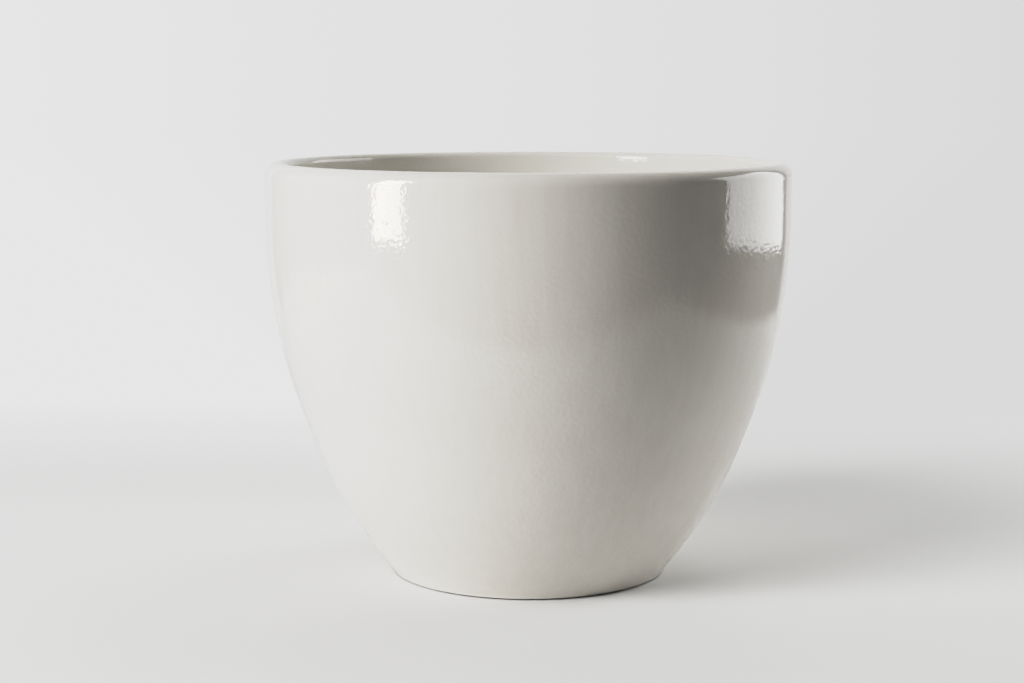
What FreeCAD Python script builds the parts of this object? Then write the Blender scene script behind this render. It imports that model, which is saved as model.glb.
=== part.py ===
import FreeCAD, Part
import math
import os
import Sketcher

# Glazed planter pot: a turned clay body, its fired glaze coat, and a rubber stopper for the drain.
# Millimetres. +Z is up, and the origin is on the pot's axis where the foot ring meets the table.

# Driving dimensions, each one free to change by itself.
driving_sizes = {
    "rim_diameter": 200,        # over the glaze, at the widest part
    "pot_height": 158,          # table to the crest of the lip, over the glaze
    "foot_diameter": 105.6,     # where the glazed wall would meet the table
    "rim_band": 21,             # upright band, from the start of the curve to the crest
    "wall_thickness": 6.6,      # clay only
    "lip_round": 4.5,           # outer rounding of the clay lip
    "floor_thickness": 7.5,     # clay only
    "floor_fillet": 16,         # clay radius between the wall and the floor
    "glaze_thickness": 0.4,
    "glaze_line": 1,            # height above the table where the glaze stops
    "foot_recess": 4,           # hollow under the floor, inside the foot ring
    "foot_ring_width": 8,
    "foot_edge_round": 1.5,
    "recess_round": 2,
    "drain_diameter": 18,
    "drain_edge_round": 0.8,
    "glaze_setback": 1.6,       # bare ring round the top of the drain hole
    "plug_clearance": 0.1,      # radial, between the stopper and the drain hole
    "plug_length": 9.5,         # below the head
    "plug_taper": 0.8,          # radius lost from the head down to the tip
    "plug_tip_round": 1,
    "groove_depth": 0.6,
    "groove_height": 1,
    "groove_spacing": 2.2,
    "head_diameter": 30,
    "head_thickness": 3,
    "head_round": 1.2,
    "neck_diameter": 8,
    "neck_height": 4.5,
    "neck_round": 1.5,
    "knob_diameter": 14,
    "knob_height": 5.5,
    "knob_round": 2.2,
}

# Radii and levels that follow from them. The wall is one arc, upright at the belly, that runs
# down through the foot; the clay, the glaze and the inside all share its centre.
derived_sizes = {
    "axis_line": "0",
    "table_level": "0",
    "rim_radius": "rim_diameter / 2",
    "belly_level": "pot_height - rim_band",
    "foot_inset": "rim_radius - foot_diameter / 2",
    "curve_radius": "(foot_inset ^ 2 + belly_level ^ 2) / (2 * foot_inset)",
    "curve_centre": "rim_radius - curve_radius",
    "clay_radius": "rim_radius - glaze_thickness",
    "clay_curve_radius": "curve_radius - glaze_thickness",
    "clay_foot_radius": "curve_centre + sqrt(clay_curve_radius ^ 2 - belly_level ^ 2)",
    "clay_line_radius": "curve_centre + sqrt(clay_curve_radius ^ 2 - (belly_level - glaze_line) ^ 2)",
    "glaze_line_radius": "curve_centre + sqrt(curve_radius ^ 2 - (belly_level - glaze_line) ^ 2)",
    "clay_height": "pot_height - glaze_thickness",
    "crest_radius": "clay_radius - lip_round",
    "lip_outer_level": "clay_height - lip_round",
    "lip_inner_level": "clay_height - wall_thickness + lip_round",
    "cavity_radius": "clay_radius - wall_thickness",
    "cavity_curve_radius": "clay_curve_radius - wall_thickness",
    "glazed_cavity_radius": "cavity_radius - glaze_thickness",
    "foot_inside_radius": "foot_diameter / 2 - foot_ring_width",
    "floor_level": "foot_recess + floor_thickness",
    "glazed_floor_level": "floor_level + glaze_thickness",
    "fillet_drop": "belly_level - floor_level - floor_fillet",
    "fillet_reach": "cavity_curve_radius - floor_fillet",
    "fillet_run": "sqrt(fillet_reach ^ 2 - fillet_drop ^ 2)",
    "fillet_centre": "curve_centre + fillet_run",
    "fillet_top": "cavity_curve_radius / fillet_reach",
    "glazed_fillet_top": "(cavity_curve_radius - glaze_thickness) / fillet_reach",
    "fillet_top_radius": "curve_centre + fillet_run * fillet_top",
    "fillet_top_level": "belly_level - fillet_drop * fillet_top",
    "glazed_fillet_top_radius": "curve_centre + fillet_run * glazed_fillet_top",
    "glazed_fillet_top_level": "belly_level - fillet_drop * glazed_fillet_top",
    "drain_radius": "drain_diameter / 2",
    "glaze_hole_radius": "drain_radius + glaze_setback",
    "plug_radius": "drain_radius - plug_clearance",
    "plug_tip_radius": "plug_radius - plug_taper",
    "plug_tip_level": "glazed_floor_level - plug_length",
    "groove_top_level": "glazed_floor_level - groove_spacing",
    "groove_bottom_level": "groove_top_level - groove_height",
    "groove_radius": "plug_tip_radius - groove_depth",
    "head_radius": "head_diameter / 2",
    "head_top_level": "glazed_floor_level + head_thickness",
    "neck_radius": "neck_diameter / 2",
    "neck_top_level": "head_top_level + neck_height",
    "knob_radius": "knob_diameter / 2",
    "knob_top_level": "neck_top_level + knob_height",
}

groove_count = 2
edge_tolerance = 1e-3       # mm, and as a share of a volume
least_groove = 1            # mm3 that the sealing groove has to take away

doc = FreeCAD.newDocument("planter_pot")
sizes = doc.addObject("Spreadsheet::Sheet", "sizes")


def fill_sheet():
    cells = {alias: str(number) for alias, number in driving_sizes.items()}
    cells.update({alias: f"={formula}" for alias, formula in derived_sizes.items()})
    for row, (alias, text) in enumerate(cells.items(), 1):
        sizes.set(f"A{row}", alias)
        sizes.set(f"B{row}", text)
        sizes.setAlias(f"B{row}", alias)
    doc.recompute()


def size(alias):
    return float(getattr(sizes, alias))


def new_body(name):
    body = doc.addObject("PartDesign::Body", name)
    body.Label = name
    return body


def new_sketch(body, name, plane_role="XZ_Plane"):
    sketch = body.newObject("Sketcher::SketchObject", name)
    plane = next(item for item in body.Origin.OriginFeatures if item.Role == plane_role)
    sketch.AttachmentSupport = (plane, "")
    sketch.MapMode = "FlatFace"
    return sketch


def hold(sketch, kind, piece, vertex, alias):
    """Fix one coordinate of a point of the sketch at a cell of the sheet."""
    constraint = Sketcher.Constraint(kind, -1, 1, piece, vertex, size(alias))
    index = sketch.addConstraint(constraint)
    sketch.setExpression(f"Constraints[{index}]", f"sizes.{alias}")


def arc_centre(start, end, axis, alias):
    """Centre of the arc between two points, from its x or its y."""
    known = size(alias)
    if axis == "y":
        rise = (end.y - known) ** 2 - (start.y - known) ** 2
        return FreeCAD.Vector((end.x ** 2 - start.x ** 2 + rise) / (2 * (end.x - start.x)), known, 0)
    run = (end.x - known) ** 2 - (start.x - known) ** 2
    return FreeCAD.Vector(known, (end.y ** 2 - start.y ** 2 + run) / (2 * (end.y - start.y)), 0)


def draw_run(sketch, start, end, centre):
    """Add a line or an arc. Gives its number and which of its vertices start and end it."""
    if centre is None:
        return sketch.addGeometry(Part.LineSegment(start, end), False), 1, 2
    first = math.atan2(start.y - centre.y, start.x - centre.x)
    last = math.atan2(end.y - centre.y, end.x - centre.x)
    circle = Part.Circle(centre, FreeCAD.Vector(0, 0, 1), centre.distanceToPoint(start))
    if math.sin(last - first) > 0:
        return sketch.addGeometry(Part.ArcOfCircle(circle, first, last), False), 1, 2
    return sketch.addGeometry(Part.ArcOfCircle(circle, last, first), False), 2, 1


def draw_outline(sketch, corners):
    """Close a ring of corners. Each is (x, y) after a straight run, or (x, y, axis, level) after
    an arc whose centre has that x or y. Every entry but the axis names a cell of the sheet."""
    points = [FreeCAD.Vector(size(corner[0]), size(corner[1]), 0) for corner in corners]
    runs = []
    for index, corner in enumerate(corners):
        start, end = points[index - 1], points[index]
        centre = arc_centre(start, end, *corner[2:]) if len(corner) > 2 else None
        runs.append(draw_run(sketch, start, end, centre))
    for index, corner in enumerate(corners):
        piece, _, last = runs[index]
        follower, first, _ = runs[(index + 1) % len(runs)]
        sketch.addConstraint(Sketcher.Constraint("Coincident", piece, last, follower, first))
        hold(sketch, "DistanceX", piece, last, corner[0])
        hold(sketch, "DistanceY", piece, last, corner[1])
        if len(corner) > 2:
            hold(sketch, "Distance" + corner[2].upper(), piece, 3, corner[3])


def revolve(body, sketch, name, kind="PartDesign::Revolution"):
    feature = body.newObject(kind, name)
    feature.Profile = sketch
    feature.ReferenceAxis = (sketch, ["V_Axis"])
    feature.Angle = 360
    doc.recompute()
    return feature


def ring_edges(feature, radius, level):
    """Names of the round edges of a feature at that radius and height."""
    names = []
    for number, edge in enumerate(feature.Shape.Edges, 1):
        if not isinstance(edge.Curve, Part.Circle):
            continue
        off_radius = abs(edge.Curve.Radius - radius)
        off_level = abs(edge.Curve.Center.z - level)
        if max(off_radius, off_level) < edge_tolerance:
            names.append(f"Edge{number}")
    return names


def round_rings(body, base, name, rings, alias):
    """Fillet the ring edges, each given as cells for its radius and its level."""
    edges = []
    for radius_alias, level_alias in rings:
        found = ring_edges(base, size(radius_alias), size(level_alias))
        if not found:
            raise RuntimeError(f"{name}: no edge at {radius_alias}, {level_alias}")
        edges += found
    fillet = body.newObject("PartDesign::Fillet", name)
    fillet.Base = (base, edges)
    fillet.setExpression("Radius", f"sizes.{alias}")
    doc.recompute()
    return fillet


def make_clay_body():
    body = new_body("clay_body")
    profile = new_sketch(body, "clay_profile")
    draw_outline(profile, [
        ("axis_line", "foot_recess"),
        ("foot_inside_radius", "foot_recess"),
        ("foot_inside_radius", "table_level"),
        ("clay_foot_radius", "table_level"),
        ("clay_radius", "belly_level", "y", "belly_level"),
        ("clay_radius", "lip_outer_level"),
        ("crest_radius", "clay_height", "y", "lip_outer_level"),
        ("cavity_radius", "lip_inner_level", "y", "lip_inner_level"),
        ("cavity_radius", "belly_level"),
        ("fillet_top_radius", "fillet_top_level", "y", "belly_level"),
        ("fillet_centre", "floor_level", "x", "fillet_centre"),
        ("axis_line", "floor_level"),
    ])
    turned = revolve(body, profile, "turned_clay")

    outline = new_sketch(body, "drain_outline", "XY_Plane")
    circle = Part.Circle(FreeCAD.Vector(0, 0, 0), FreeCAD.Vector(0, 0, 1), size("drain_radius"))
    piece = outline.addGeometry(circle, False)
    outline.addConstraint(Sketcher.Constraint("Coincident", piece, 3, -1, 1))
    index = outline.addConstraint(Sketcher.Constraint("Radius", piece, size("drain_radius")))
    outline.setExpression(f"Constraints[{index}]", "sizes.drain_radius")
    drain = body.newObject("PartDesign::Pocket", "drain_hole")
    drain.Profile = outline
    drain.Reversed = True
    drain.setExpression("Length", "sizes.pot_height")
    doc.recompute()
    punched = turned.Shape.Volume - drain.Shape.Volume
    expected = math.pi * size("drain_radius") ** 2 * size("floor_thickness")
    if abs(punched - expected) > edge_tolerance * expected:
        raise RuntimeError(f"the drain hole took {punched:.0f} mm3, not {expected:.0f}")

    drain_rings = [("drain_radius", "foot_recess"), ("drain_radius", "floor_level")]
    foot_rings = [("clay_foot_radius", "table_level"), ("foot_inside_radius", "table_level")]
    feature = round_rings(body, drain, "drain_edges", drain_rings, "drain_edge_round")
    feature = round_rings(body, feature, "foot_edges", foot_rings, "foot_edge_round")
    recess_ring = [("foot_inside_radius", "foot_recess")]
    feature = round_rings(body, feature, "recess_corner", recess_ring, "recess_round")
    body.Tip = feature
    return body


def make_glaze_coat():
    """A skin over the outside, the lip, the inside and the floor; the foot ring stays bare."""
    body = new_body("glaze_coat")
    profile = new_sketch(body, "glaze_profile")
    draw_outline(profile, [
        ("glaze_line_radius", "glaze_line"),
        ("rim_radius", "belly_level", "y", "belly_level"),
        ("rim_radius", "lip_outer_level"),
        ("crest_radius", "pot_height", "y", "lip_outer_level"),
        ("glazed_cavity_radius", "lip_inner_level", "y", "lip_inner_level"),
        ("glazed_cavity_radius", "belly_level"),
        ("glazed_fillet_top_radius", "glazed_fillet_top_level", "y", "belly_level"),
        ("fillet_centre", "glazed_floor_level", "x", "fillet_centre"),
        ("glaze_hole_radius", "glazed_floor_level"),
        ("glaze_hole_radius", "floor_level"),
        ("fillet_centre", "floor_level"),
        ("fillet_top_radius", "fillet_top_level", "x", "fillet_centre"),
        ("cavity_radius", "belly_level", "y", "belly_level"),
        ("cavity_radius", "lip_inner_level"),
        ("crest_radius", "clay_height", "y", "lip_inner_level"),
        ("clay_radius", "lip_outer_level", "y", "lip_outer_level"),
        ("clay_radius", "belly_level"),
        ("clay_line_radius", "glaze_line", "y", "belly_level"),
    ])
    body.Tip = revolve(body, profile, "fired_coat")
    return body


def make_drain_stopper():
    """A tapered plug in the drain hole, a head that seats on the glazed floor, and a pull knob."""
    body = new_body("drain_stopper")
    profile = new_sketch(body, "stopper_profile")
    draw_outline(profile, [
        ("axis_line", "plug_tip_level"),
        ("plug_tip_radius", "plug_tip_level"),
        ("plug_radius", "glazed_floor_level"),
        ("head_radius", "glazed_floor_level"),
        ("head_radius", "head_top_level"),
        ("neck_radius", "head_top_level"),
        ("neck_radius", "neck_top_level"),
        ("knob_radius", "neck_top_level"),
        ("knob_radius", "knob_top_level"),
        ("axis_line", "knob_top_level"),
    ])
    moulded = revolve(body, profile, "moulded_rubber")

    groove_profile = new_sketch(body, "groove_profile")
    draw_outline(groove_profile, [
        ("groove_radius", "groove_bottom_level"),
        ("drain_radius", "groove_bottom_level"),
        ("drain_radius", "groove_top_level"),
        ("groove_radius", "groove_top_level"),
    ])
    groove = revolve(body, groove_profile, "sealing_groove", "PartDesign::Groove")
    if groove.Shape.Volume > moulded.Shape.Volume - least_groove:
        raise RuntimeError("the sealing groove cut nothing")
    ribs = body.newObject("PartDesign::LinearPattern", "sealing_ribs")
    ribs.Originals = [groove]
    ribs.Direction = (groove_profile, ["V_Axis"])
    ribs.Reversed = True
    ribs.setExpression("Length", f"sizes.groove_spacing * {groove_count - 1}")
    ribs.Occurrences = groove_count
    body.Tip = ribs
    doc.recompute()

    head_rings = [("head_radius", "head_top_level")]
    neck_rings = [("neck_radius", "head_top_level"), ("neck_radius", "neck_top_level")]
    knob_rings = [("knob_radius", "neck_top_level"), ("knob_radius", "knob_top_level")]
    tip_rings = [("plug_tip_radius", "plug_tip_level")]
    feature = round_rings(body, ribs, "head_edge", head_rings, "head_round")
    feature = round_rings(body, feature, "neck_corners", neck_rings, "neck_round")
    feature = round_rings(body, feature, "knob_edges", knob_rings, "knob_round")
    feature = round_rings(body, feature, "tip_edge", tip_rings, "plug_tip_round")
    body.Tip = feature
    return body


def check_document(bodies):
    doc.recompute()
    for item in doc.Objects:
        if "Invalid" in item.State or "Error" in item.State:
            raise RuntimeError(f"{item.Name} failed: {item.State}")
    for body in bodies:
        shape = body.Shape
        if shape.isNull() or not shape.isValid() or len(shape.Solids) != 1:
            raise RuntimeError(f"{body.Label} is not one valid solid")


def export_parts(bodies):
    os.makedirs("parts", exist_ok=True)
    for body in bodies:
        body.Shape.exportStep(f"parts/{body.Label}.step")
        box = body.Shape.optimalBoundingBox(False, False)
        volume = body.Shape.Volume / 1000
        print(f"{body.Label}: {volume:.1f} cm3, r {box.XMax:.2f}, z {box.ZMin:.2f} to {box.ZMax:.2f}")


fill_sheet()
parts = [make_clay_body(), make_glaze_coat(), make_drain_stopper()]
check_document(parts)
export_parts(parts)
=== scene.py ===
import math

import bpy
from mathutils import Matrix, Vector


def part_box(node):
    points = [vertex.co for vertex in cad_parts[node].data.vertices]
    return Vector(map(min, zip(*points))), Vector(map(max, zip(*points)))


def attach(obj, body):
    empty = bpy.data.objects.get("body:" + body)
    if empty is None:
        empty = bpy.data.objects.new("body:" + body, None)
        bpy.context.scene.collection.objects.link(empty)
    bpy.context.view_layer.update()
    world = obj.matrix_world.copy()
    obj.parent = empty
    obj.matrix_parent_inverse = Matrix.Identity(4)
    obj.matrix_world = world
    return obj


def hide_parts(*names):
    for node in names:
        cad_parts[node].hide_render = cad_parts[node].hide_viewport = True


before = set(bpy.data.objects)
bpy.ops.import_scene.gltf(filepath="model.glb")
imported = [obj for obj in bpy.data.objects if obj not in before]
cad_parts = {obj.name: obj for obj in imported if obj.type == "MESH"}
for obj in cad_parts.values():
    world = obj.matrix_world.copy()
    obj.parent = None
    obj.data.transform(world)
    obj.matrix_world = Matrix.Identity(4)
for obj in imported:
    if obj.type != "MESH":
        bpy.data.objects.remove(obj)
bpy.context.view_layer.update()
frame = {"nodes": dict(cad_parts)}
mm = 0.001                      # Blender works in metres, the pieces' sizes are in millimetres
mergeGap = 0.001 * mm           # points this near become one
creaseAngle = 40                # degrees; a sharper corner stays a crease
print("frame loaded:", ", ".join(frame["nodes"]))


def linearColour(hexText):
    channels = [int(hexText[place:place + 2], 16) / 255 for place in (1, 3, 5)]
    linear = [c / 12.92 if c <= 0.04045 else ((c + 0.055) / 1.055) ** 2.4 for c in channels]
    return (*linear, 1)


def addNode(tree, kind, settings=None, links=None):
    node = tree.nodes.new(kind)
    for name, value in (settings or {}).items():
        if isinstance(name, int) or name in node.inputs:
            node.inputs[name].default_value = value
        else:
            setattr(node, name, value)
    for socket, source in (links or {}).items():
        tree.links.new(source, node.inputs[socket])
    return node


def newMaterial(name):
    material = bpy.data.materials.new(name)
    material.use_nodes = True
    material.node_tree.nodes.clear()
    return material, material.node_tree


def finishMaterial(tree, shader):
    addNode(tree, "ShaderNodeOutputMaterial", links={"Surface": shader.outputs[0]})


def finishSurface(tree, look, tone, skin):
    shader = addNode(tree, "ShaderNodeBsdfPrincipled",
                     {"IOR": look["ior"], "Roughness": look["roughness"]},
                     {"Base Color": tone.outputs[2], "Normal": skin.outputs[0]})
    finishMaterial(tree, shader)


def addNoise(tree, place, size, detail, roughness=0.5):
    scale = {"Scale": 1 / (size * mm), "Detail": detail, "Roughness": roughness}
    return addNode(tree, "ShaderNodeTexNoise", scale, {"Vector": place})


def addRelief(tree, height, depth, under=None):
    # fine relief of that depth, on top of another one where it is given
    links = {"Height": height.outputs[0]}
    if under:
        links["Normal"] = under.outputs[0]
    return addNode(tree, "ShaderNodeBump", {"Strength": 1, "Distance": depth * mm}, links)


def giveMaterial(piece, material):
    piece.data.materials.clear()
    piece.data.materials.append(material)


def evenSteps(first, last, count):
    return [first + (last - first) * step / count for step in range(count + 1)]


def arcRun(centre, radius, firstAngle, lastAngle, count):
    # points on an arc, angles in degrees from the outward direction, upwards positive
    turns = [math.radians(angle) for angle in evenSteps(firstAngle, lastAngle, count)]
    return [(centre[0] + radius * math.cos(a), centre[1] + radius * math.sin(a)) for a in turns]


def spinPiece(name, outline, segments, closed):
    # the outline is drawn by extruding one point from corner to corner, then spun round +Z
    corners = [Vector((radius * mm, 0, level * mm)) for radius, level in outline]
    bpy.ops.object.select_all(action="DESELECT")
    bpy.ops.mesh.primitive_plane_add(size=mm, location=(0, 0, 0))
    piece = bpy.context.object
    piece.name = piece.data.name = name
    bpy.ops.object.mode_set(mode="EDIT")
    bpy.ops.mesh.merge(type="CENTER")
    bpy.ops.transform.translate(value=corners[0])
    for start, end in zip(corners, corners[1:]):
        bpy.ops.mesh.extrude_region_move(TRANSFORM_OT_translate={"value": end - start})
    if closed:
        bpy.ops.mesh.extrude_region_move(TRANSFORM_OT_translate={"value": corners[0] - corners[-1]})
    bpy.ops.mesh.select_all(action="SELECT")
    bpy.ops.mesh.remove_doubles(threshold=mergeGap)
    bpy.ops.mesh.select_all(action="SELECT")
    bpy.ops.mesh.spin(steps=segments, angle=2 * math.pi, center=(0, 0, 0), axis=(0, 0, 1))
    bpy.ops.mesh.select_all(action="SELECT")
    bpy.ops.mesh.remove_doubles(threshold=mergeGap)
    bpy.ops.mesh.normals_make_consistent(inside=False)
    bpy.ops.object.mode_set(mode="OBJECT")
    bpy.ops.object.shade_smooth_by_angle(angle=math.radians(creaseAngle))
    return piece


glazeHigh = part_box("glaze_coat")[1]
pot = {                         # in millimetres
    "rimRadius": glazeHigh.x / mm,
    "height": glazeHigh.z / mm,
    "rimBand": 21,              # upright, from the start of the curve to the crest
    "footRadius": 52.8,         # where the glazed wall would meet the table
    "wall": 7.4,                # clay and both coats
    "glaze": 0.4,
    "lipOuter": 4.9,            # roundings of the glazed lip
    "lipInner": 2.5,
    "floorLevel": 11.9,         # glazed floor
    "floorFillet": 15.6,
    "drainRadius": 9,
    "glazeSetback": 1.6,        # bare ring round the drain hole
    "turningWave": 0.34,        # the wall is a little fuller and leaner where hands shaped it
    "wavePitch": 75,
    "waveCrest": 27.6,
    "waveFades": (62, 96),      # levels between which the unevenness dies out
    "bandSteps": 8, "lipSteps": 14, "innerLipSteps": 10, "innerBandSteps": 6,
    "filletSteps": 10, "floorSteps": 12,
}
pot["belly"] = pot["height"] - pot["rimBand"]
inset = pot["rimRadius"] - pot["footRadius"]
pot["curve"] = (inset ** 2 + pot["belly"] ** 2) / (2 * inset)
pot["centre"] = pot["rimRadius"] - pot["curve"]
pot["crestRadius"] = pot["rimRadius"] - pot["lipOuter"]


def turningWave(level):
    low, high = pot["waveFades"]
    share = min(max((level - low) / (high - low), 0), 1)
    fade = 1 - share * share * (3 - 2 * share)
    turn = 2 * math.pi * (level - pot["waveCrest"]) / pot["wavePitch"]
    return pot["turningWave"] * fade * math.cos(turn)


def outerRadius(level, depth):
    drop = max(pot["belly"] - level, 0)
    curve = pot["curve"] - depth
    return pot["centre"] + math.sqrt(curve ** 2 - drop ** 2) + turningWave(level)


def innerRadius(level, depth):
    drop = max(pot["belly"] - level, 0)
    curve = pot["curve"] - pot["wall"] + depth
    return pot["centre"] + math.sqrt(curve ** 2 - drop ** 2)


def faceRun(depth, startLevel, holeRadius, wallSteps):
    # from the foot up the wall, over the lip and down to the floor, so deep under the glaze's face
    run = [(outerRadius(level, depth), level)
           for level in evenSteps(startLevel, pot["belly"], wallSteps)]
    lipLevel = pot["height"] - pot["lipOuter"]
    innerLipLevel = pot["height"] - pot["lipInner"]
    run += [(pot["rimRadius"] - depth, level)
            for level in evenSteps(pot["belly"], lipLevel, pot["bandSteps"])[1:]]
    run += arcRun((pot["crestRadius"], lipLevel), pot["lipOuter"] - depth, 0, 90, pot["lipSteps"])[1:]
    run += arcRun((pot["crestRadius"], innerLipLevel), pot["lipInner"] - depth, 90, 180,
                  pot["innerLipSteps"])[1:]
    cavityRadius = pot["crestRadius"] - pot["lipInner"] + depth
    run += [(cavityRadius, level)
            for level in evenSteps(innerLipLevel, pot["belly"], pot["innerBandSteps"])[1:]]

    fillet = pot["floorFillet"] + depth
    reach = pot["curve"] - pot["wall"] - pot["floorFillet"]
    drop = pot["belly"] - pot["floorLevel"] - pot["floorFillet"]
    filletCentre = (pot["centre"] + math.sqrt(reach ** 2 - drop ** 2),
                    pot["floorLevel"] + pot["floorFillet"])
    tilt = math.degrees(math.asin(drop / reach))
    filletTop = filletCentre[1] - fillet * math.sin(math.radians(tilt))
    run += [(innerRadius(level, depth), level)
            for level in evenSteps(pot["belly"], filletTop, wallSteps // 2)[1:]]
    run += arcRun(filletCentre, fillet, -tilt, -90, pot["filletSteps"])[1:]
    floor = pot["floorLevel"] - depth
    run += [(radius, floor)
            for radius in evenSteps(filletCentre[0], holeRadius, pot["floorSteps"])[1:]]
    return run


glazeCoat = {
    "segments": 256,
    "line": 0.48,               # level where the glaze stops above the foot
    "bead": 0.22,               # the rolled edge there
    "beadSteps": 4,
    "skin": 0.36,               # depth of the coat's hidden side
    "faceSteps": 96, "backSteps": 34,
    "unevenness": 0.10,         # soft swells of the poured glaze
    "swellSize": 26,
}


def makeGlazeCoat():
    size = glazeCoat
    holeRadius = pot["drainRadius"] + pot["glazeSetback"]
    bead = size["bead"]
    face = faceRun(0, size["line"] + bead, holeRadius + bead, size["faceSteps"])
    back = faceRun(size["skin"], size["line"] + bead, holeRadius + bead, size["backSteps"])
    lowerEdge = arcRun((face[0][0] - bead, size["line"] + bead), bead, -90, 0, size["beadSteps"])[:-1]
    floor = pot["floorLevel"]
    holeEdge = arcRun((holeRadius + bead, floor - bead), bead, 90, 180, size["beadSteps"])[1:]
    outline = lowerEdge + face + holeEdge + back[::-1]
    piece = spinPiece("glazeCoat", outline, size["segments"], True)

    swells = bpy.data.textures.new("pouredSwells", "CLOUDS")
    swells.noise_scale = size["swellSize"] * mm
    swells.noise_depth = 1
    modifier = piece.modifiers.new("unevenness", "DISPLACE")
    modifier.texture = swells
    modifier.texture_coords = "LOCAL"
    modifier.mid_level = 1
    modifier.strength = size["unevenness"] * mm
    bpy.ops.object.modifier_apply(modifier=modifier.name)
    return piece


clayBody = {
    "segments": 192,
    "footInner": 44.8,
    "recess": 4,                # hollow under the floor
    "footRound": 1.5,
    "recessRound": 2,
    "drainRound": 0.8,
    "trimDepth": 0.22,          # rings that the turning tool left in the recess
    "trimPitch": 2.6,
    "trimSteps": 6,             # points to each ring
    "wallStart": 0.2,           # the wall's first point stands this far above the foot's rounding
    "wallSteps": 40, "footSteps": 6, "edgeSteps": 5,
}


def recessRings(outer, inner, level):
    # the ceiling of the recess, seen from below as shallow rings
    size = clayBody
    count = round((outer - inner) / size["trimPitch"]) * size["trimSteps"]
    run = []
    for radius in evenSteps(inner, outer, count):
        phase = 2 * math.pi * (radius - inner) / size["trimPitch"]
        run.append((radius, level + size["trimDepth"] * (1 - math.cos(phase)) / 2))
    return run


def makeClayBody():
    size = clayBody
    depth = pot["glaze"]
    drain = pot["drainRadius"]
    edge = size["drainRound"]
    floor = pot["floorLevel"] - depth
    footRadius = outerRadius(0, depth)
    tilt = math.degrees(math.asin(pot["belly"] / (pot["curve"] - depth)))
    footRound = size["footRound"]
    tangent = footRound * math.tan(math.radians(90 - tilt) / 2)
    footSteps, edgeSteps = size["footSteps"], size["edgeSteps"]
    footCorner = arcRun((footRadius - tangent, footRound), footRound, -90, -tilt, footSteps)
    wallStart = footCorner[-1][1] + size["wallStart"]
    outline = footCorner + faceRun(depth, wallStart, drain + edge, size["wallSteps"])
    outline += arcRun((drain + edge, floor - edge), edge, 90, 180, edgeSteps)[1:]
    outline += arcRun((drain + edge, size["recess"] + edge), edge, 180, 270, edgeSteps)
    corner = size["recessRound"]
    outline += recessRings(size["footInner"] - corner, drain + edge, size["recess"])[1:]
    outline += arcRun((size["footInner"] - corner, size["recess"] - corner), corner, 90, 0, footSteps)[1:]
    outline += arcRun((size["footInner"] + footRound, footRound), footRound, 180, 270, footSteps)
    return spinPiece("clayBody", outline, size["segments"], True)


stopper = {
    "segments": 96,
    "plugLength": 9.5, "plugTop": 8.9, "plugTip": 8.1, "tipRound": 1,
    "groove": 0.6, "grooveHeight": 1, "groovePitch": 2.2, "grooves": 2,
    "ribLip": 0.1, "ribUpperLip": 0.25, "ribTaper": 0.25, "grooveSlope": 0.2,
    "plugEase": (0.1, 0.4),     # the plug widens by the first over the second, under the head
    "headRadius": 15, "headHeight": 3, "headRound": 1.2, "headEdge": 0.3,
    "neckRadius": 4, "neckHeight": 4.5, "neckRound": 1.5,
    "knobRadius": 7, "knobHeight": 5.5, "knobRound": 2.2,
    "partingRidge": 0.12,       # flash line round the knob where the mould halves met
    "partingHalf": 0.2,         # half its height
    "dimple": (3.2, 0.5),       # radius and depth of the hollow on the knob
    "tipSteps": 5, "seatSteps": 3, "edgeSteps": 3, "roundSteps": 7, "knobSteps": 8, "dimpleSteps": 6,
}


def makeStopper():
    size = stopper
    seat = pot["floorLevel"]
    tip = seat - size["plugLength"]
    edge = size["tipRound"]
    outline = [(0, tip)]
    outline += arcRun((size["plugTip"] - edge, tip + edge), edge, -90, 0, size["tipSteps"])
    taper, slope = size["ribTaper"], size["grooveSlope"]
    for number in reversed(range(size["grooves"])):
        top = seat - size["groovePitch"] * (number + 1)
        bottom = top - size["grooveHeight"]
        inner = size["plugTip"] - size["groove"]
        lip = size["plugTip"] + size["ribLip"]
        upperLip = size["plugTip"] + size["ribUpperLip"]
        outline += [(lip, bottom - taper), (size["plugTip"], bottom), (inner, bottom + slope)]
        outline += [(inner, top - slope), (lip, top), (upperLip, top + taper)]
    easeIn, easeDown = size["plugEase"]
    outline += [(size["plugTop"] - easeIn, seat - easeDown), (size["plugTop"], seat)]

    headTop = seat + size["headHeight"]
    edge = size["headEdge"]
    brim = size["headRadius"] - edge
    outline += [(radius, seat) for radius in evenSteps(size["plugTop"], brim, size["seatSteps"])[1:]]
    outline += arcRun((brim, seat + edge), edge, -90, 0, size["edgeSteps"])[1:]
    edge, steps = size["headRound"], size["roundSteps"]
    outline += arcRun((size["headRadius"] - edge, headTop - edge), edge, 0, 90, steps)
    neck = size["neckRadius"]
    edge = size["neckRound"]
    outline += arcRun((neck + edge, headTop + edge), edge, 270, 180, steps)
    neckTop = headTop + size["neckHeight"]
    outline += arcRun((neck + edge, neckTop - edge), edge, 180, 90, steps)
    knob = size["knobRadius"]
    edge = size["knobRound"]
    knobTop = neckTop + size["knobHeight"]
    middle = (neckTop + knobTop) / 2
    ridge, half = size["partingRidge"], size["partingHalf"]
    steps = size["knobSteps"]
    outline += arcRun((knob - edge, neckTop + edge), edge - ridge, -90, 0, steps)
    outline += [(knob - ridge, middle - half), (knob, middle), (knob - ridge, middle + half)]
    outline += arcRun((knob - edge, knobTop - edge), edge - ridge, 0, 90, steps)
    dimpleRadius, dimpleDepth = size["dimple"]
    for radius in evenSteps(dimpleRadius, 0, size["dimpleSteps"]):
        depth = dimpleDepth * (1 + math.cos(math.pi * radius / dimpleRadius)) / 2
        outline.append((radius, knobTop - ridge - depth))
    return spinPiece("drainStopper", outline, size["segments"], False)


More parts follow.
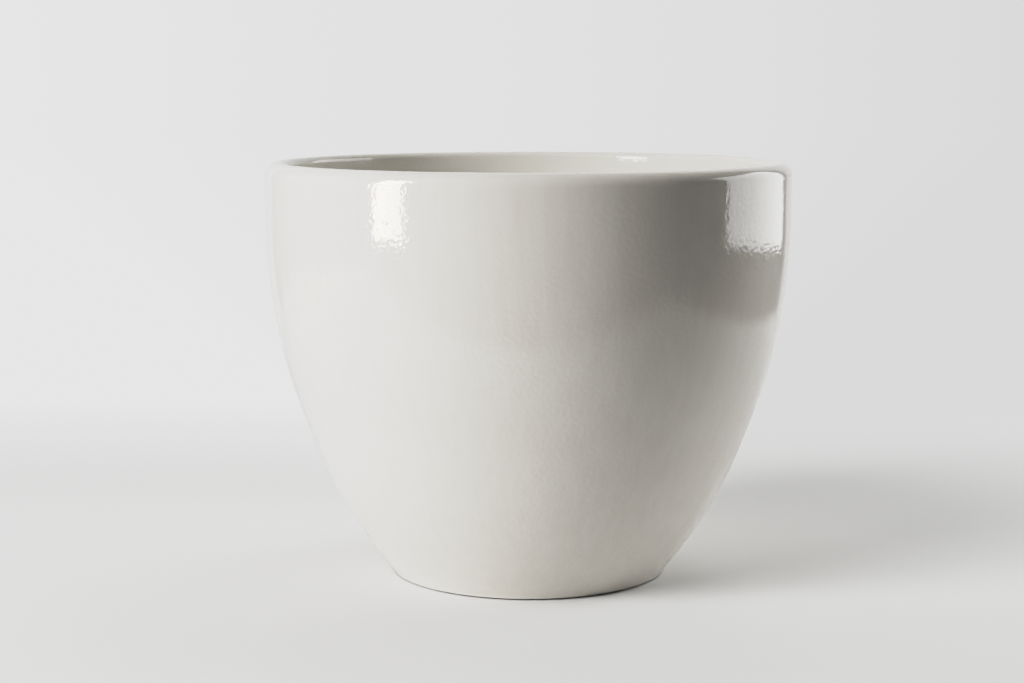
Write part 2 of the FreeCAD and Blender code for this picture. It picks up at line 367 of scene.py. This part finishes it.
def makeGlaze():
    # Tin-white earthenware glaze, poured and fired: a hard gloss over a warm white, with faint runs
    # in its tone and the fine pitted skin of orange peel. The peel is much shallower than the wall's
    # own relief, so it shows mostly where a reflection ends.
    look = {
        # the inside tone is painted shade for the pot's inner wall
        "tone": "#DDD9D2", "thinTone": "#D6D1C8", "paintedInsideShade": "#D3D0C9",
        "ior": 1.52, "roughness": 0.05,
        "peelSize": 1.5, "peelDepth": 0.062, "swellSize": 7, "swellDepth": 0.03,
        "runWidth": 3.5, "runLength": 38, "runContrast": 0.5, "runSpan": (0.35, 0.75),
        "insideShadeSpan": (0.3, 0.8),   # shares of the rim radius, between which the painted inner shade sets in
    }
    material, tree = newMaterial("whiteEarthenwareGlaze")
    coordinates = addNode(tree, "ShaderNodeTexCoord").outputs
    place = coordinates["Object"]
    # runs: narrow across the wall, long down it
    stretch = {"Scale": (1, 1, look["runWidth"] / look["runLength"])}
    runPlace = addNode(tree, "ShaderNodeMapping", stretch, {"Vector": place})
    runs = addNoise(tree, runPlace.outputs[0], look["runWidth"], detail=3, roughness=0.6)
    faint, strong = look["runSpan"]
    runRange = {"From Min": faint, "From Max": strong, "To Min": 0, "To Max": look["runContrast"]}
    runShare = addNode(tree, "ShaderNodeMapRange", runRange, {"Value": runs.outputs[0]})
    tones = {"data_type": "RGBA", 6: linearColour(look["tone"]), 7: linearColour(look["thinTone"])}
    outside = addNode(tree, "ShaderNodeMix", tones, {0: runShare.outputs[0]})
    # painted shade inside the pot: a darker, greyer tone where the face points towards the axis
    across = addNode(tree, "ShaderNodeMapping", {"Scale": (1, 1, 0)}, {"Vector": place})
    facing = addNode(tree, "ShaderNodeVectorMath", {"operation": "DOT_PRODUCT"},
                     {0: across.outputs[0], 1: coordinates["Normal"]})
    start, end = [share * pot["rimRadius"] * mm for share in look["insideShadeSpan"]]
    insideShadeRange = {"From Min": -start, "From Max": -end}
    insideShadeShare = addNode(tree, "ShaderNodeMapRange", insideShadeRange, {"Value": facing.outputs["Value"]})
    paintedInsideShade = {"data_type": "RGBA", 7: linearColour(look["paintedInsideShade"])}
    tone = addNode(tree, "ShaderNodeMix", paintedInsideShade, {0: insideShadeShare.outputs[0], 6: outside.outputs[2]})

    swells = addNoise(tree, place, look["swellSize"], detail=1)
    soft = addRelief(tree, swells, look["swellDepth"])
    peel = addNoise(tree, place, look["peelSize"], detail=1.5, roughness=0.45)
    skin = addRelief(tree, peel, look["peelDepth"], soft)
    finishSurface(tree, look, tone, skin)
    return material


def makeTerracotta():
    # Red earthenware, fired bare: matt and porous, with grog showing as darker grains, a fine sandy
    # skin and soft clouds of a paler tone. From the outer edge of the foot outwards, under the
    # glaze, the clay is darkened by a painted contact shadow where the foot meets the table.
    look = {
        "clay": "#B0663F", "pale": "#C98C66", "dark": "#7F4227", "ior": 1.5, "roughness": 0.88,
        "grogSize": 0.9, "cloudSize": 14, "sandSize": 0.35, "sandDepth": 0.05,
        "grainSpan": (0.12, 0.30), "grainContrast": 0.8,
        "paintedContactShadow": "#2B2521", "contactShadowStart": 51, "contactShadowEnd": 51.5,     # painted contact shadow at the foot; radii between which it sets in
    }
    material, tree = newMaterial("bareTerracotta")
    place = addNode(tree, "ShaderNodeTexCoord").outputs["Object"]
    clouds = addNoise(tree, place, look["cloudSize"], detail=4)
    clay = {"data_type": "RGBA", 6: linearColour(look["clay"]), 7: linearColour(look["pale"])}
    base = addNode(tree, "ShaderNodeMix", clay, {0: clouds.outputs[0]})
    grogScale = {"Scale": 1 / (look["grogSize"] * mm), "feature": "F1"}
    grog = addNode(tree, "ShaderNodeTexVoronoi", grogScale, {"Vector": place})
    core, rim = look["grainSpan"]
    grainRange = {"From Min": core, "From Max": rim, "To Min": look["grainContrast"], "To Max": 0}
    grain = addNode(tree, "ShaderNodeMapRange", grainRange, {"Value": grog.outputs["Distance"]})
    dark = {"data_type": "RGBA", 7: linearColour(look["dark"])}
    grained = addNode(tree, "ShaderNodeMix", dark, {0: grain.outputs[0], 6: base.outputs[2]})
    # painted contact shadow: the clay turns dark from the foot's outer edge outwards
    across = addNode(tree, "ShaderNodeMapping", {"Scale": (1, 1, 0)}, {"Vector": place})
    reach = addNode(tree, "ShaderNodeVectorMath", {"operation": "LENGTH"}, {0: across.outputs[0]})
    contactShadowRange = {"From Min": look["contactShadowStart"] * mm, "From Max": look["contactShadowEnd"] * mm}
    contactShadowShare = addNode(tree, "ShaderNodeMapRange", contactShadowRange, {"Value": reach.outputs["Value"]})
    paintedContactShadow = {"data_type": "RGBA", 7: linearColour(look["paintedContactShadow"])}
    tone = addNode(tree, "ShaderNodeMix", paintedContactShadow, {0: contactShadowShare.outputs[0], 6: grained.outputs[2]})
    sand = addNoise(tree, place, look["sandSize"], detail=3)
    skin = addRelief(tree, sand, look["sandDepth"])
    finishSurface(tree, look, tone, skin)
    return material


def makeRubber():
    # Black natural rubber, pressed in a blasted mould: satin, with a fine even grain and a slight
    # grey bloom in patches.
    look = {
        "rubber": "#26262A", "bloom": "#3A3A3C", "ior": 1.52, "roughness": 0.5,
        "bloomSize": 6, "grainSize": 0.4, "grainDepth": 0.02,
    }
    material, tree = newMaterial("mouldedRubber")
    place = addNode(tree, "ShaderNodeTexCoord").outputs["Object"]
    bloom = addNoise(tree, place, look["bloomSize"], detail=3)
    tones = {"data_type": "RGBA", 6: linearColour(look["rubber"]), 7: linearColour(look["bloom"])}
    tone = addNode(tree, "ShaderNodeMix", tones, {0: bloom.outputs[0]})
    grain = addNoise(tree, place, look["grainSize"], detail=1)
    skin = addRelief(tree, grain, look["grainDepth"])
    finishSurface(tree, look, tone, skin)
    return material


glazePiece = makeGlazeCoat()
giveMaterial(glazePiece, makeGlaze())
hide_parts("glaze_coat")
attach(glazePiece, "pot")
print("glaze coat made")

clayPiece = makeClayBody()
giveMaterial(clayPiece, makeTerracotta())
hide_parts("clay_body")
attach(clayPiece, "pot")
print("clay body made")

stopperPiece = makeStopper()
giveMaterial(stopperPiece, makeRubber())
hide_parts("drain_stopper")
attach(stopperPiece, "stopper")
print("drain stopper made")


table = {                       # in metres, as all of the room is
    "left": -0.75, "right": 0.41, "front": -0.285, "back": 0.40,
    "fade": 0.13,               # over which the table runs out into the backdrop
    "backFade": 0.28,           # the same at the back
    "veil": 0.0004,             # height of the fade above the table
    "tone": "#E6E6E5",
}
backdrop = {
    "radius": 6, "drop": 0.003,
    # brightness in the middle, what it gains to the left and loses to the right, and its bounds
    "middle": 0.94, "slope": 0.62, "least": 0.77, "most": 1.13,
}


def backdropLight(tree, place):
    # a pale even tone, a little lighter to the left
    parts = addNode(tree, "ShaderNodeSeparateXYZ", links={0: place}).outputs
    squareX = addNode(tree, "ShaderNodeMath", {"operation": "MULTIPLY"}, {0: parts[0], 1: parts[0]})
    squares = addNode(tree, "ShaderNodeMath", {"operation": "MULTIPLY_ADD"},
                      {0: parts[1], 1: parts[1], 2: squareX.outputs[0]})
    reach = addNode(tree, "ShaderNodeMath", {"operation": "SQRT"}, {0: squares.outputs[0]})
    side = addNode(tree, "ShaderNodeMath", {"operation": "DIVIDE"}, {0: parts[0], 1: reach.outputs[0]})
    spread = {"From Min": -1, "From Max": 1, "To Min": backdrop["middle"] + backdrop["slope"],
              "To Max": backdrop["middle"] - backdrop["slope"]}
    tone = addNode(tree, "ShaderNodeMapRange", spread, {"Value": side.outputs[0]})
    low = addNode(tree, "ShaderNodeMath", {"operation": "MAXIMUM", 1: backdrop["least"]},
                  {0: tone.outputs[0]})
    high = addNode(tree, "ShaderNodeMath", {"operation": "MINIMUM", 1: backdrop["most"]},
                   {0: low.outputs[0]})
    glow = {"Color": (1, 1, 1, 1)}
    return addNode(tree, "ShaderNodeEmission", glow, {"Strength": high.outputs[0]})


def addFlat(name, low, high, level):
    bpy.ops.object.select_all(action="DESELECT")
    middle = ((low[0] + high[0]) / 2, (low[1] + high[1]) / 2, level)
    bpy.ops.mesh.primitive_plane_add(size=1, location=middle)
    piece = bpy.context.object
    piece.name = name
    piece.scale = (high[0] - low[0], high[1] - low[1], 1)
    bpy.ops.object.transform_apply(location=True, rotation=True, scale=True)
    return piece


def makeTableTop():
    size = table
    piece = addFlat("tableTop", (size["left"], size["front"]), (size["right"], size["back"]), 0)
    material, tree = newMaterial("matWhiteBoard")
    finishMaterial(tree, addNode(tree, "ShaderNodeBsdfDiffuse", {"Color": linearColour(size["tone"])}))
    giveMaterial(piece, material)
    return piece


def onlyForCamera(piece):
    for kind in ("diffuse", "glossy", "transmission", "volume_scatter", "shadow"):
        setattr(piece, "visible_" + kind, False)


def makeTableFade():
    # a veil just over the table that runs its edges out into the backdrop
    size = table
    fade = size["fade"]
    piece = addFlat("tableFade", (size["left"] - fade, size["front"] - fade),
                    (size["right"] + fade, size["back"] + fade), size["veil"])
    material, tree = newMaterial("paleFade")
    place = addNode(tree, "ShaderNodeTexCoord").outputs["Object"]
    parts = addNode(tree, "ShaderNodeSeparateXYZ", links={0: place}).outputs
    runOuts = ((0, size["left"] + fade, size["left"]), (0, size["right"] - fade, size["right"]),
               (1, size["front"] + fade, size["front"]),
               (1, size["back"] - size["backFade"], size["back"]))
    share = None
    for axis, start, end in runOuts:
        reach = {"interpolation_type": "SMOOTHSTEP", "From Min": start, "From Max": end}
        edge = addNode(tree, "ShaderNodeMapRange", reach, {"Value": parts[axis]})
        if share:
            edge = addNode(tree, "ShaderNodeMath", {"operation": "MAXIMUM"},
                           {0: share.outputs[0], 1: edge.outputs[0]})
        share = edge
    clear = addNode(tree, "ShaderNodeBsdfTransparent")
    glow = backdropLight(tree, place)
    finishMaterial(tree, addNode(tree, "ShaderNodeMixShader",
                                 links={0: share.outputs[0], 1: clear.outputs[0], 2: glow.outputs[0]}))
    giveMaterial(piece, material)
    onlyForCamera(piece)
    return piece


def makeBackdrop():
    # one bowl of pale light all round, which only the camera sees
    size = backdrop
    bpy.ops.object.select_all(action="DESELECT")
    bpy.ops.mesh.primitive_uv_sphere_add(segments=64, ring_count=32, radius=size["radius"])
    piece = bpy.context.object
    piece.name = "backdrop"
    bpy.ops.object.mode_set(mode="EDIT")
    bpy.ops.mesh.select_all(action="SELECT")
    bpy.ops.mesh.bisect(plane_co=(0, 0, -size["drop"]), plane_no=(0, 0, 1), clear_inner=True,
                        use_fill=True)
    bpy.ops.object.mode_set(mode="OBJECT")
    material, tree = newMaterial("paleBackdrop")
    place = addNode(tree, "ShaderNodeTexCoord").outputs["Object"]
    finishMaterial(tree, backdropLight(tree, place))
    giveMaterial(piece, material)
    onlyForCamera(piece)
    return piece


makeTableTop()
makeTableFade()
makeBackdrop()
print("stage made")

# Lamps light the pot and are not seen in it. Softboxes are only reflections: they stand upright,
# their lower edge just over the table. Turns run from the camera, positive to the right; turn and
# rise are in degrees, distances and sides in metres, power in watts.
lamps = {
    "keyLamp": {"turn": -62, "rise": 20, "distance": 1.3, "width": 0.35, "power": 12.4},
    "frontLamp": {"turn": -46, "rise": 20, "distance": 1.3, "width": 0.35, "power": 7.1},
    "highLamp": {"turn": -46, "rise": 50, "distance": 1.3, "width": 0.35, "power": 2.7},
    "rearLeftLamp": {"turn": -150, "rise": 60, "distance": 1.3, "width": 0.6, "power": 2},
    "rearRightLamp": {"turn": 150, "rise": 60, "distance": 1.3, "width": 0.6, "power": 2.9},
    "sideLamp": {"turn": 118, "rise": 13, "distance": 0.9, "width": 0.62, "power": 6.4},
}
softboxes = {
    "keySoftbox": {"turn": -57.5, "distance": 0.86, "low": 0.044, "width": 0.226, "tall": 0.72,
                   "power": 5.8},
    "sideSoftbox": {"turn": 112, "distance": 0.87, "low": 0.03, "width": 0.77, "tall": 0.64,
                    "power": 5.2},
    "rearPanel": {"turn": 180, "distance": 0.4, "low": 0.001, "width": 0.74, "tall": 0.7,
                  "power": 1.2},
}
aimLevel = 0.08                 # the lamps point at the pot's axis here, about half way up
roomGlow = 0.2                  # faint light from behind the pot
# how the film answers: deeper shadows and a long soft shoulder, as pairs of light and tone
filmWhite = 1.6
filmTones = ((0.1, 0.07), (0.18, 0.142), (0.28, 0.26), (0.4, 0.4), (0.5, 0.505), (0.6, 0.595),
             (0.7, 0.665), (0.85, 0.73), (1.1, 0.785), (1.35, 0.88))


def addLight(name, place, facing, width, tall, power):
    bpy.ops.object.select_all(action="DESELECT")
    bpy.ops.object.light_add(type="AREA", location=place)
    lamp = bpy.context.object
    lamp.name = name
    lamp.data.shape = "RECTANGLE"
    lamp.data.size = width
    lamp.data.size_y = tall
    lamp.data.energy = power
    lamp.rotation_euler = facing.to_track_quat("Z", "Y").to_euler()
    lamp.visible_camera = False
    return lamp


def addLamp(name, size):
    turn, rise = math.radians(size["turn"]), math.radians(size["rise"])
    away = Vector((math.sin(turn) * math.cos(rise), -math.cos(turn) * math.cos(rise), math.sin(rise)))
    place = away * size["distance"] + Vector((0, 0, aimLevel))
    lamp = addLight(name, place, away, size["width"], size["width"], size["power"])
    lamp.visible_glossy = False


def addSoftbox(name, size):
    turn = math.radians(size["turn"])
    away = Vector((math.sin(turn), -math.cos(turn), 0))
    place = away * size["distance"] + Vector((0, 0, size["low"] + size["tall"] / 2))
    box = addLight(name, place, away, size["width"], size["tall"], size["power"])
    box.visible_diffuse = False


def lightRoom():
    world = bpy.data.worlds.new("studio")
    bpy.context.scene.world = world
    world.use_nodes = True
    tree = world.node_tree
    tree.nodes.clear()
    place = addNode(tree, "ShaderNodeTexCoord").outputs["Generated"]
    depth = addNode(tree, "ShaderNodeSeparateXYZ", links={0: place}).outputs[1]
    behind = addNode(tree, "ShaderNodeMath", {"operation": "MAXIMUM", 1: 0}, {0: depth})
    share = addNode(tree, "ShaderNodeMath", {"operation": "MULTIPLY", 1: roomGlow},
                    {0: behind.outputs[0]})
    glow = addNode(tree, "ShaderNodeBackground", links={"Strength": share.outputs[0]})
    addNode(tree, "ShaderNodeOutputWorld", links={"Surface": glow.outputs[0]})


def loadFilm():
    view = bpy.context.scene.view_settings
    view.view_transform = "Standard"
    view.use_curve_mapping = True
    mapping = view.curve_mapping
    mapping.white_level = (filmWhite,) * 3
    curve = mapping.curves[3]
    for light, tone in filmTones:
        curve.points.new(light / filmWhite, tone)
    mapping.update()


for lampName, lampSize in lamps.items():
    addLamp(lampName, lampSize)
for boxName, boxSize in softboxes.items():
    addSoftbox(boxName, boxSize)
lightRoom()
loadFilm()
print("lights placed")

cameraPlace = {
    "back": 0.7356, "height": 0.1888,       # metres from the pot's axis, and above the table
    "pitch": 7.777, "turn": 0.494,          # degrees downwards, and to the left
    "lens": 67.5, "sensor": 36,             # millimetres
    "nearest": 0.01,
}


def addCamera():
    size = cameraPlace
    bpy.ops.object.select_all(action="DESELECT")
    tilt = (math.radians(90 - size["pitch"]), 0, math.radians(size["turn"]))
    bpy.ops.object.camera_add(location=(0, -size["back"], size["height"]), rotation=tilt)
    camera = bpy.context.object
    camera.data.lens = size["lens"]
    camera.data.sensor_width = size["sensor"]
    camera.data.clip_start = size["nearest"]
    bpy.context.scene.camera = camera


addCamera()
